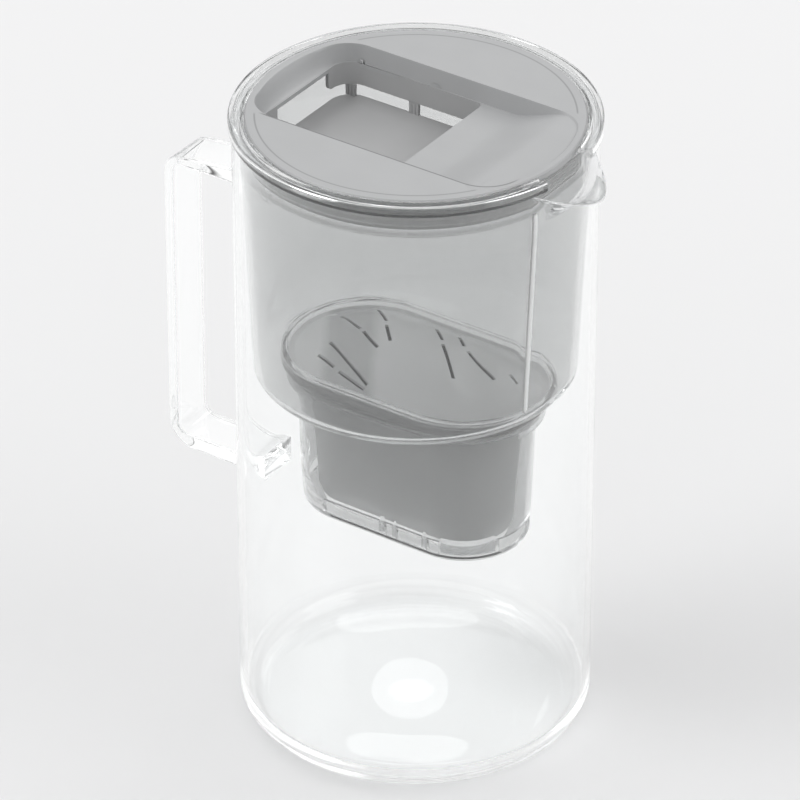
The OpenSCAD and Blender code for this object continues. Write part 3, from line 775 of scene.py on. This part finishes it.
class PITCHER_OT_lid(bpy.types.Operator):
    """Build the lid with its recess, ramp, fill opening and skirt"""
    bl_idname = "pitcher.lid"
    bl_label = "Lid"

    def execute(self, context):
        sizes = context.scene.pitcher_lid
        # the lid's grey drawn at 0.45 in painted shade along the recess's near edge, and in a thin line round the
        # border
        grey = moulded_finish("lid_grey", tuple(context.scene.pitcher_finishes.lid), 0.36, 0.45,
                              lambda s: self.border_line_and_painted_edge_shade(s, sizes))
        lid = self.top_sheet(sizes)
        dressed(lid, "lid", grey, ["lid"], smooth=30)
        skirt_r = sizes.radius - 1.9 * MM
        skirt_low = sizes.top - 11.7 * MM
        ledge = sizes.top - 2.5 * MM
        profile = [(skirt_r, ledge), (skirt_r, skirt_low + 0.3 * MM), (skirt_r - 0.3 * MM, skirt_low),
                   (skirt_r - 1.0 * MM, skirt_low), (skirt_r - 1.3 * MM, skirt_low + 0.3 * MM),
                   (skirt_r - 1.3 * MM, ledge)]
        flat = sizes.radius - 3.0 * MM
        rings = [[Vector((min(p.x, flat - (skirt_r - r)), p.y, p.z)) for (r, _), p in zip(profile, ring)]
                 for ring in turned(profile)]
        skirt = loft("lid_skirt", rings, along=True)
        dressed(skirt, "lid", grey, smooth=30)
        return {"FINISHED"}

    def border_line_and_painted_edge_shade(self, s, sizes):
        """Where the thin darker line round the border lies, and the painted shade line along the recess's near edge, as
        a mask.
        """
        r, q, cx = self.corner(sizes)
        side = sizes.half - q

        def line(distance):
            return (1.5 - abs(distance) * 3500).clamp(0.0, 1.0)

        on_top = ((s.axis(2) - (sizes.top - 0.25 * MM)) * 8000).clamp(0.0, 1.0)
        beside = ((abs(s.axis(1)) - sizes.half - 1 * MM) * 1000).clamp(0.0, 1.0)
        ring = line(s.from_line() - (sizes.radius - 3.6 * MM)) * beside
        # painted shade: a dark line along the recess's near edge and round its near corner
        before = ((cx - s.axis(0)) * 8000).clamp(0.0, 1.0)
        begun = ((s.axis(0) + 46 * MM) * 400).clamp(0.0, 1.0)
        straight = line(s.axis(1) + sizes.half + 0.2 * MM) * before * begun
        turned_in = ((-side - s.axis(1)) * 8000).clamp(0.0, 1.0)
        bend = line(s.from_line(cx, -side) - q - 0.2 * MM) * (1 - before) * turned_in
        return (ring * 0.6 + straight + bend).clamp(0.0, 1.0) * on_top

    def corner(self, sizes):
        """Radius of the recess's round end and of its corners, and how far their centres lie along x."""
        r, q = sizes.radius - sizes.border, 14 * MM
        return r, q, sqrt((r - q) ** 2 - (sizes.half - q) ** 2)

    def outline(self, sizes):
        """Points of the recess outline, each with the foot of the wall below it and how far that is a scoop."""
        h = sizes.half
        r, q, cx = self.corner(sizes)
        turn = degrees(atan2(h - q, cx))
        points = [(x, y, x / r, y / r) for x, y in arc(0, 0, r, 0, turn, 36)[:-1]]
        for k in range(37):
            a = radians(turn + (90 - turn) * k / 36)
            points.append((cx + q * cos(a), h - q + q * sin(a), cos(a), sin(a)))
        points += [(cx * (1 - k / 16), h, 0.0, 1.0) for k in range(1, 16)]
        left = [(-x, y, -nx, ny) for x, y, nx, ny in reversed(points)]
        upper = points + [(0.0, h, 0.0, 1.0)] + left
        lower = [(x, -y, nx, -ny) for x, y, nx, ny in reversed(upper[1:-1])]
        wall = 0.7 * MM
        loop = []
        for x, y, nx, ny in upper + lower:
            foot = Vector((x - nx * wall, y - ny * wall))
            if x < 0:
                foot = self.on_opening(sizes, x, y, 0.3 * MM)
            scoop = ease((hypot(x - foot.x, y - foot.y) - 1 * MM) / (4 * MM))
            loop.append((x, y, foot, scoop))
        return loop

    def on_opening(self, sizes, x, y, grow):
        """The point nearest to (x, y) on the outline of the opening, grown by grow."""
        r = 8 * MM
        core = Vector((-sizes.opening_back + sizes.inset + r, 0))
        core.x = max(core.x, x)
        side = sizes.half - 1.0 * MM - r
        core.y = max(-side, min(side, y))
        out = Vector((x, y)) - core
        return core + out.normalized() * (r + grow)

    def opening(self, sizes):
        """Plan of the fill opening, from its front corner round the far side."""
        x0, x1 = -sizes.opening_back + sizes.inset, sizes.opening_front - sizes.inset
        h, r, q = sizes.half - 1.0 * MM, 8 * MM, 2.5 * MM
        return (arc(x1 - q, h - q, q, 0, 90, 6) + arc(x0 + r, h - r, r, 90, 180, 10)
                + arc(x0 + r, -h + r, r, 180, 270, 10) + arc(x1 - q, -h + q, q, 270, 360, 6))

    def top_sheet(self, sizes):
        loop = self.outline(sizes)
        bm = bmesh.new()
        top = sizes.top

        def wall_ring(share, fall):
            ring = []
            for x, y, foot, scoop in loop:
                px, py = x + (foot.x - x) * share, y + (foot.y - y) * share
                ring.append(Vector((px, py, top - recess_depth(sizes, px) * fall(scoop))))
            return ring

        def fall_at(t):
            return lambda scoop: t * (1 - scoop) + (0.5 - 0.5 * cos(pi * t ** 0.8)) * scoop

        steps = [(0.0, 0.0), (0.04, 0.012), (0.1, 0.05), (0.2, 0.16), (0.35, 0.33), (0.5, 0.5), (0.65, 0.66),
                 (0.8, 0.82), (0.9, 0.93), (0.96, 0.985), (1.0, 1.0)]
        disc = [Vector((x / sqrt(x * x + y * y) * (sizes.radius - 0.5 * MM),
                        y / sqrt(x * x + y * y) * (sizes.radius - 0.5 * MM), top)) for x, y, *_ in loop]
        widen = sizes.radius / (sizes.radius - 0.5 * MM)
        edge = [Vector((p.x * widen, p.y * widen, top - 0.5 * MM)) for p in disc]
        under = [Vector((p.x, p.y, top - 2.5 * MM)) for p in edge]
        rings = [under, edge, disc] + [wall_ring(share, fall_at(t)) for share, t in steps]
        rows = add_loft(bm, rings)
        inner = rows[-1]
        hole = [bm.verts.new((x, y, top)) for x, y in self.opening(sizes)]
        edges = [bm.edges.get((a, b)) or bm.edges.new((a, b)) for a, b in zip(inner, inner[1:] + inner[:1])]
        edges += [bm.edges.new((a, b)) for a, b in zip(hole, hole[1:] + hole[:1])]
        filled = bmesh.ops.triangle_fill(bm, use_beauty=True, use_dissolve=False, edges=edges)["geom"]
        faces = [f for f in filled if isinstance(f, bmesh.types.BMFace)]
        for k in range(1, 44):
            x = -sizes.opening_back + k * 2.4 * MM
            live = [f for f in faces if f.is_valid]
            geom = live + list({e for f in live for e in f.edges}) + list({v for f in live for v in f.verts})
            cut = bmesh.ops.bisect_plane(bm, geom=geom, plane_co=(x, 0, 0), plane_no=(1, 0, 0), dist=1e-7)
            faces = [f for f in cut["geom"] if isinstance(f, bmesh.types.BMFace)]
        for v in {v for f in faces if f.is_valid for v in f.verts}:
            if v not in inner:
                v.co.z = top - recess_depth(sizes, v.co.x)
        obj = mesh_object("lid_top", bm, 1e-6)
        if max(obj.data.polygons, key=lambda p: p.area).normal.z < 0:
            obj.data.flip_normals()
        thick = obj.modifiers.new("thickness", "SOLIDIFY")
        thick.thickness = 1.6 * MM
        thick.offset = -1
        applied = bpy.data.meshes.new_from_object(obj.evaluated_get(bpy.context.evaluated_depsgraph_get()))
        obj.modifiers.clear()
        obj.data = applied
        return obj


class PITCHER_OT_guard(bpy.types.Operator):
    """Build the splash guard under the fill opening, and the soft ring round the skirt"""
    bl_idname = "pitcher.guard"
    bl_label = "Guard and seal"

    def execute(self, context):
        sizes = context.scene.pitcher_lid
        grey = moulded_finish("guard_grey", tuple(context.scene.pitcher_finishes.guard), 0.42)
        bm = bmesh.new()
        self.skirt(bm, sizes)
        self.plate(bm, sizes)
        self.struts(bm, sizes)
        guard = mesh_object("splash_guard_insert", bm)
        dressed(guard, "lid", grey, ["splash_guard"], smooth=30)
        rubber = rubber_finish("seal_rubber", tuple(context.scene.pitcher_finishes.seal))
        seal = loft("lid_seal_ring", self.seal_rings(sizes), along=True)
        dressed(seal, "lid", rubber, ["lid_seal"], smooth=30)
        return {"FINISHED"}

    def plan(self, sizes, grow):
        """Plan of the guard, grown by grow; with grow 0 it lies just inside the opening."""
        x0, x1 = -sizes.opening_back + sizes.inset + 0.06 * MM - grow, sizes.opening_front - sizes.inset + grow
        h, r, q = sizes.half - 1.06 * MM + grow, 8 * MM + grow, 3 * MM + grow
        return (arc(x1 - q, h - q, q, 0, 90, 6) + arc(x0 + r, h - r, r, 90, 180, 12)
                + arc(x0 + r, -h + r, r, 180, 270, 12) + arc(x1 - q, -h + q, q, 270, 360, 6))

    def skirt(self, bm, sizes):
        """Wall round the opening, with a gap at the handle side and a rounded lower corner at the gap."""
        inner, outer = self.plan(sizes, 0.0), self.plan(sizes, 1.3 * MM)
        far_corner, ends = 7 + 13, (-12.5 * MM, 19.0 * MM)
        run = list(zip(inner, outer))
        xi, xo = inner[far_corner - 1][0], outer[far_corner - 1][0]
        near = [((xi, y), (xo, y)) for y in (ends[0], ends[0] - 3 * MM, ends[0] - 7 * MM)]
        round_r = 2.4 * MM
        bow = [ends[1] + round_r * (1 - cos(radians(a))) for a in (75, 60, 45, 30, 15, 0)]
        far = [((xi, y), (xo, y)) for y in bow]
        order = near + run[far_corner:] + run[:far_corner] + far
        low_z, high_z = sizes.guard_skirt, sizes.top - sizes.depth - 0.02 * MM
        rings = []
        for k, ((xi, yi), (xo, yo)) in enumerate(order):
            left = len(order) - 1 - k
            lift = 0.0
            if left < len(far):
                inside = max(round_r - (yi - ends[1]), 0.0)
                lift = round_r - sqrt(max(round_r ** 2 - inside ** 2, 0.0))
            rise = high_z + sizes.depth - recess_depth(sizes, xi)
            rings.append([Vector((xi, yi, low_z + lift)), Vector((xi, yi, rise)),
                          Vector((xo, yo, rise - 0.8 * MM)), Vector((xo, yo, low_z + lift))])
        add_loft(bm, rings, capped=True)

    def plate(self, bm, sizes):
        thick, soft = 2.2 * MM, 0.5 * MM
        z = sizes.guard_low
        rings = []
        wide = 1.3 * MM
        for grow, height in ((wide - soft, 0.0), (wide, soft), (wide, thick - soft), (wide - soft, thick)):
            rings.append([Vector((x, y, z + height)) for x, y in self.plan(sizes, grow)])
        add_loft(bm, rings, capped=True)

    def struts(self, bm, sizes):
        """Ribbed struts between the plate and the skirt."""
        low_z, high_z = sizes.guard_low + 2.1 * MM, sizes.guard_skirt + 0.1 * MM
        for side in (1, -1):
            for k in range(3):
                x = -sizes.opening_back + (2 + 26.5 * k) * MM
                y = sizes.half - 1.06 * MM - (1.6 * MM if k == 0 else 0.0)
                for rib in range(3):
                    left, right = x + rib * 1.4 * MM, x + rib * 1.4 * MM + 1.15 * MM
                    rings = []
                    for z, extra in ((low_z, 0.0), (high_z - 1 * MM, 0.05 * MM), (high_z, 0.2 * MM)):
                        x0, x1, outer = left - extra, right + extra, y + 1.3 * MM
                        rings.append([Vector((px, side * py, z))
                                      for px, py in ((x0, y), (x1, y), (x1, outer), (x0, outer))])
                    add_loft(bm, rings, capped=True)

    def seal_rings(self, sizes):
        skirt_r = sizes.radius - 1.9 * MM + 0.02 * MM
        z = sizes.top - 11.1 * MM
        profile = [(skirt_r, z), (skirt_r + 0.4 * MM, z)]
        for rib in (0.6 * MM, 3.0 * MM, 5.6 * MM):
            profile += [(skirt_r + 0.4 * MM, z + rib)]
            profile += [(skirt_r + 0.4 * MM + 0.4 * MM * sin(radians(a)), z + rib + (a / 180) * MM)
                        for a in (30, 60, 90, 120, 150)]
            profile += [(skirt_r + 0.4 * MM, z + rib + 1 * MM)]
        profile += [(skirt_r + 0.4 * MM, z + 7.2 * MM), (skirt_r, z + 7.2 * MM)]
        flat = sizes.radius - 3.0 * MM
        return [[Vector((min(p.x, flat + (r - skirt_r)), p.y, p.z)) for (r, _), p in zip(profile, ring)]
                for ring in turned(profile)]


class PITCHER_OT_cartridge(bpy.types.Operator):
    """Build the filter cartridge: shell, slotted cap, screens and filter bed"""
    bl_idname = "pitcher.cartridge"
    bl_label = "Cartridge"

    def execute(self, context):
        sizes = context.scene.pitcher_cartridge
        finishes = context.scene.pitcher_finishes
        shell = loft("cartridge_shell_body", self.shell_rings(sizes), along=True)
        # painted shade: the shell drawn at 0.27 of its grey above the underside of its collar
        grey = moulded_finish("cartridge_grey", tuple(finishes.shell), 0.4, 0.27,
                              lambda s: ((s.axis(2) - sizes.collar_low) * 400).clamp(0.0, 1.0))
        dressed(shell, "cartridge", grey,
                ["cartridge_shell"], smooth=30)
        # painted shadow: a black ring standing for the dark line between the rims of shell and cap
        shadow_line = loft("cartridge_shadow_line", self.shadow_line_rings(sizes), along=True)
        dressed(shadow_line, "cartridge", moulded_finish("painted_shadow_black", (0.03, 0.03, 0.03), 0.6))
        cap = self.cap(sizes)
        # painted shade: the cap drawn at 0.72 of its grey in the valley at the handle's side
        satin = moulded_finish("cap_grey", tuple(finishes.cap), 0.25, 0.72, lambda s: self.painted_valley_shade(s, sizes))
        dressed(cap, "cartridge", satin, ["cartridge_cap"], smooth=30)
        # painted shade: the screens' near black stands for the dark inside behind the slots
        woven = screen_finish("screen_painted_dark", tuple(finishes.screen))
        bed = granule_finish("media_black", tuple(finishes.media))
        for node, finish in (("inlet_screen", woven), ("outlet_screen", woven), ("filter_media", bed)):
            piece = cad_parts[node]
            piece.data.materials.clear()
            piece.data.materials.append(finish)
        return {"FINISHED"}

    def painted_valley_shade(self, s, sizes):
        """Painted shade in the valley at the handle's side, as a mask with soft edges."""
        aside = s.axis(0) * cos(radians(33)) + s.axis(1) * sin(radians(33))
        return ((11 * MM - abs(aside + sizes.valley + 3 * MM)) * 250).clamp(0.0, 1.0)

    def shadow_line_rings(self, sizes):
        """Black ring between the rims of shell and cap: a painted shadow line, not a part of the cartridge."""
        under, outer = low("cartridge_cap").z, sizes.rim
        below, above, inner = under - 0.5 * MM, under + 0.1 * MM, outer - 0.6 * MM
        return track_rings(sizes.half_straight, [(inner, below), (outer, below), (outer, above), (inner, above)])

    def shell_rings(self, sizes):
        c, rim = sizes.half_straight, sizes.rim
        seat = low("cartridge_cap").z - 0.8 * MM
        bottom = sizes.bottom
        collar = seat - 6.5 * MM
        profile = [(27.1 * MM, seat), (27.1 * MM, collar + 1.5 * MM), (26.6 * MM, collar + 0.5 * MM),
                   (25.6 * MM, collar), (21 * MM, collar - 0.6 * MM), (20.4 * MM, collar - 1.4 * MM),
                   (19.3 * MM, collar - 25 * MM), (18.1 * MM, bottom + 2 * MM), (17.5 * MM, bottom + 0.6 * MM),
                   (16 * MM, bottom), (13 * MM, bottom), (13 * MM, bottom + 1.5 * MM), (16.4 * MM, bottom + 1.5 * MM),
                   (17.9 * MM, collar - 25 * MM), (18.9 * MM, collar), (25.6 * MM, collar + 2.5 * MM),
                   (25.6 * MM, seat + 0.8 * MM), (rim - 0.3 * MM, seat + 0.8 * MM), (rim, seat + 0.5 * MM),
                   (rim, seat + 0.2 * MM), (rim - 0.2 * MM, seat)]
        return track_rings(c, profile)

    def dome(self, sizes, x, y, reach):
        """Height of the cap over its flange at a point; reach is the end radius of the dome there."""
        away = Vector((max(abs(x) - sizes.half_straight, 0), y)).length
        bow = (reach ** 2 + sizes.dome ** 2) / (2 * sizes.dome)
        round_top = sqrt(max(bow ** 2 - away ** 2, 0)) - bow + sizes.dome
        turn = radians(33)
        aside = abs(x * cos(turn) + y * sin(turn)) - sizes.valley
        dip = sizes.dome - sizes.valley_depth + sizes.valley_radius
        pressed = dip - sqrt(max(sizes.valley_radius ** 2 - aside ** 2, 0))
        soft = 1.2 * MM
        near = max(soft - abs(round_top - pressed), 0)
        return max(min(round_top, pressed) - near * near / (4 * soft), 0)

    def dome_grid(self, bm, sizes, reach, plane):
        """Adds the dome as a grid of rows over a racetrack; returns its rim, with the outward normals."""
        c, across, along = sizes.half_straight, 48, 72
        rows = []
        for j in range(across + 1):
            lean = -pi / 2 + pi * j / across
            y, half = reach * sin(lean), c + reach * cos(lean)
            rows.append([bm.verts.new((x, y, plane + self.dome(sizes, x, y, reach)))
                         for x in [half * (2 * i / along - 1) for i in range(along + 1)]])
        for a, b in zip(rows, rows[1:]):
            for i in range(along):
                bm.faces.new((a[i], a[i + 1], b[i + 1], b[i]))
        leans = [-pi / 2 + pi * j / across for j in range(across + 1)]
        rim = [(v, Vector((0, -1, 0))) for v in rows[0]]
        rim += [(rows[j][-1], Vector((cos(leans[j]), sin(leans[j]), 0))) for j in range(1, across)]
        rim += [(v, Vector((0, 1, 0))) for v in reversed(rows[-1])]
        rim += [(rows[j][0], Vector((-cos(leans[j]), sin(leans[j]), 0))) for j in range(across - 1, 0, -1)]
        return rim

    def cap(self, sizes):
        rim = sizes.rim
        under = low("cartridge_cap").z
        plane = under + sizes.flange
        foot = rim - sizes.margin
        wall = 1.2 * MM
        bm = bmesh.new()
        upper = self.dome_grid(bm, sizes, foot, plane)
        lower = self.dome_grid(bm, sizes, foot - wall, plane - 0.7 * MM)
        edge = [(foot + 0.3 * MM, plane), (rim - 0.2 * MM, plane), (rim, plane - 0.2 * MM),
                (rim, under + 0.2 * MM), (rim - 0.15 * MM, under), (foot - wall + 0.1 * MM, under)]
        rings = [[v for v, n in upper]]
        rings += [[bm.verts.new(Vector((v.co.x, v.co.y, z)) + n * (r - foot)) for v, n in upper] for r, z in edge]
        rings += [[v for v, n in lower]]
        for a, b in zip(rings, rings[1:]):
            for i in range(len(a)):
                j = (i + 1) % len(a)
                bm.faces.new((a[i], a[j], b[j], b[i]))
        cap = mesh_object("cartridge_cap_dome", bm, 1e-6)
        cutters = bmesh.new()
        slots = (((-38, 7), (-27, 4)), ((-25, 3), (-13, -5)), ((-31, 21), (-21, 12)), ((-19, 9), (-11, 0)),
                 ((-30, -11), (-5, -23)), ((-30, -18), (-21, -21)), ((-18, -22), (-5, -25)),
                 ((-5, 21), (3, 13)), ((5, 10), (21, -7)), ((5, 21), (11, 15)), ((14, 13), (33, 1)),
                 ((35, 8), (40, 6)))
        for (x0, y0), (x1, y1) in slots:
            run = Vector((x1 - x0, y1 - y0, 0)) * MM
            middle = Vector(((x0 + x1) / 2 * MM, (y0 + y1) / 2 * MM, plane + 3 * MM))
            turn = Matrix.Rotation(atan2(run.y, run.x), 4, "Z")
            size = Matrix.Diagonal((run.length, sizes.slot, 14 * MM, 1))
            bmesh.ops.create_cube(cutters, size=1, matrix=Matrix.Translation(middle) @ turn @ size)
        carve(cap, cutters)
        return cap


class PITCHER_PT_panel(bpy.types.Panel):
    """Lists the pieces of the pitcher and their sizes"""
    bl_idname = "PITCHER_PT_panel"
    bl_label = "Water filter pitcher"
    bl_space_type = "VIEW_3D"
    bl_region_type = "UI"
    bl_category = "Pitcher"

    def draw(self, context):
        for operator in PIECES:
            self.layout.operator(operator.bl_idname)
        for group in GROUPS:
            box = self.layout.box()
            box.label(text=group.replace("pitcher_", "").capitalize())
            for key in GROUPS[group].__annotations__:
                box.prop(getattr(context.scene, group), key)


PIECES = (PITCHER_OT_stage, PITCHER_OT_jug, PITCHER_OT_hopper, PITCHER_OT_lid, PITCHER_OT_guard,
          PITCHER_OT_cartridge)
GROUPS = {"pitcher_jug": JugSizes, "pitcher_hopper": HopperSizes, "pitcher_lid": LidSizes,
          "pitcher_cartridge": CartridgeSizes, "pitcher_finishes": Finishes}


def register():
    for cls in (*GROUPS.values(), *PIECES, PITCHER_PT_panel):
        bpy.utils.register_class(cls)
    for name, cls in GROUPS.items():
        setattr(bpy.types.Scene, name, PointerProperty(type=cls))


def unregister():
    for name in GROUPS:
        delattr(bpy.types.Scene, name)
    for cls in (PITCHER_PT_panel, *reversed(PIECES), *GROUPS.values()):
        bpy.utils.unregister_class(cls)


def main():
    register()
    for operator in PIECES:
        getattr(bpy.ops.pitcher, operator.bl_idname.split(".")[1])()


if __name__ == "__main__":
    main()
